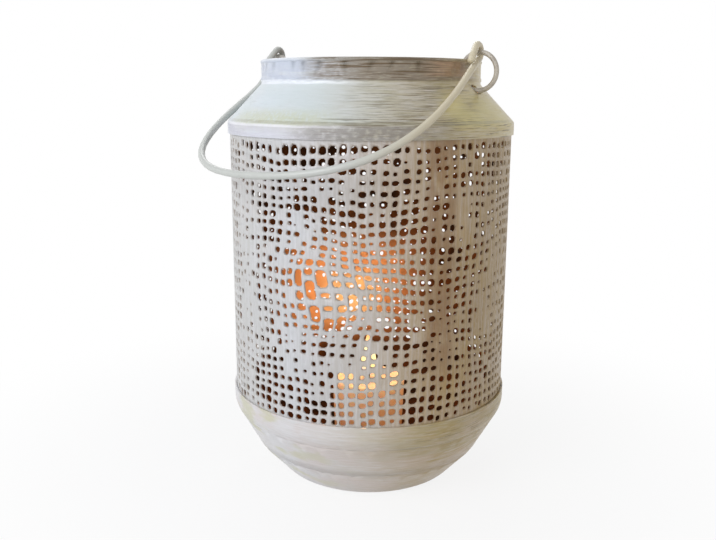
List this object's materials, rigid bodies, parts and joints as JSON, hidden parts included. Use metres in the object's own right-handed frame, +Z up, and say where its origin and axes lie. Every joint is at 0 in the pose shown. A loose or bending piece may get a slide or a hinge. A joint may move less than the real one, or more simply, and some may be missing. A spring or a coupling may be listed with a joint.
{
  "type": "candle lantern",
  "caption": "Round candle lantern of white painted sheet metal with a net-pierced wall, a rolled neck, a wire bail hung in two loose rings, and a votive candle.",
  "frame": {"origin": "centre of the foot's underside, on the lantern's own axis", "axes": "+Z up along the lantern's axis; X along the bail's hinge line, +X to the right seen from the front; -Y is the front, where the bail lies"},
  "size_m": [0.142, 0.1615, 0.2186],
  "materials": {
    "white_paint": "satin",
    "cream_paint": "satin",
    "beige_paint": "satin",
    "wax": "satin",
    "wick": "matte",
    "tin": "satin"
  },
  "bodies": {
    "lantern": {"neck_cap": "white_paint", "pierced_body": "white_paint", "base_bowl": "white_paint"},
    "bail": {"bail": "cream_paint"},
    "ring_right": {"ring_right": "beige_paint"},
    "ring_left": {"ring_left": "beige_paint"},
    "candle": {"candle_wax": "wax", "candle_wick": "wick", "wick_tab": "tin"}
  },
  "joints": [
    {"name": "bail_swing", "type": "hinge", "parent": "lantern", "child": "bail", "pos_m": [0, 0, 0.21358], "axis": [-1, 0, 0], "range_deg": [0, 244]},
    {"name": "ring_right_turn", "type": "hinge", "parent": "lantern", "child": "ring_right", "pos_m": [0.0575, 0, 0.205], "axis": [0, 1, 0], "continuous": true},
    {"name": "ring_left_turn", "type": "hinge", "parent": "lantern", "child": "ring_left", "pos_m": [-0.0575, 0, 0.205], "axis": [0, -1, 0], "continuous": true},
    {"name": "candle_lift", "type": "slide", "parent": "lantern", "child": "candle", "axis": [0, 0, 1], "range_m": [0, 0.22]}
  ]
}
